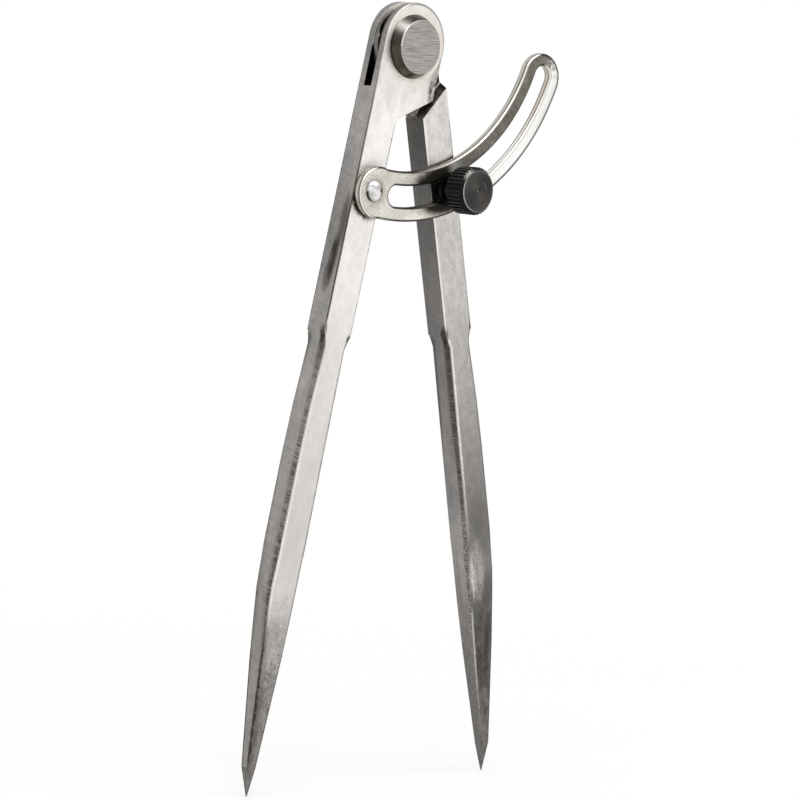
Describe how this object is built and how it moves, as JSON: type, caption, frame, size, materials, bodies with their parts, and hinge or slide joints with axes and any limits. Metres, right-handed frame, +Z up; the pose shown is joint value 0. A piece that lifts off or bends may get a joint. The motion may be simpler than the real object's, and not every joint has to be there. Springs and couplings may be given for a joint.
{
  "type": "compass divider",
  "caption": "Steel wing divider with pointed legs on a riveted forked head, a slotted bright wing and a black knurled thumb screw that locks the opening.",
  "frame": {"origin": "on the pivot axis of the legs, at the middle of the bar's thickness", "axes": "+Z up, away from the points, along the line that halves the angle between the legs as pictured; +Y to the back along the pivot axis; +X to the right, to the leg with the thumb screw"},
  "size_m": [0.091, 0.0187, 0.1944],
  "materials": {
    "leg_steel": "ground satin with cross brushing, darker rough-ground corners",
    "rivet_steel": "turned, faintly brushed",
    "shim_brass": "rolled strip",
    "wing_nickel": "bright warm nickel plate",
    "black_steel": "black oxide, satin"
  },
  "bodies": {
    "fork": {"fork_leg": "leg_steel", "pivot_rivet": "rivet_steel", "front_shim": "shim_brass", "rear_shim": "shim_brass", "wing_rivet": "wing_nickel"},
    "tongue": {"tongue_leg": "leg_steel"},
    "wing": {"wing": "wing_nickel"},
    "washer": {"clamp_washer": "black_steel"},
    "screw": {"thumb_screw": "black_steel"}
  },
  "joints": [
    {"name": "leg_opening", "type": "hinge", "parent": "fork", "child": "tongue", "pos_m": [0, 0, 0], "axis": [0, -1, 0], "range_deg": [-24.66, 73]},
    {"name": "wing_swivel", "type": "hinge", "parent": "fork", "child": "wing", "pos_m": [-0.01302, 0, -0.03544], "axis": [0, -1, 0], "range_deg": [-3.3, 9.75]},
    {"name": "washer_slide", "type": "slide", "parent": "tongue", "child": "washer", "axis": [0, -1, 0], "range_m": [0, 0.0018]},
    {"name": "screw_turn", "type": "hinge", "parent": "washer", "child": "screw", "pos_m": [0.01285, 0, -0.03466], "axis": [0, -1, 0], "range_deg": [0, 1081]}
  ],
  "couplings": [
    {"joint": "wing_swivel", "follows": "leg_opening", "ratio": 0.133},
    {"joint": "screw_turn", "follows": "washer_slide", "rad_per_m": 10472}
  ]
}
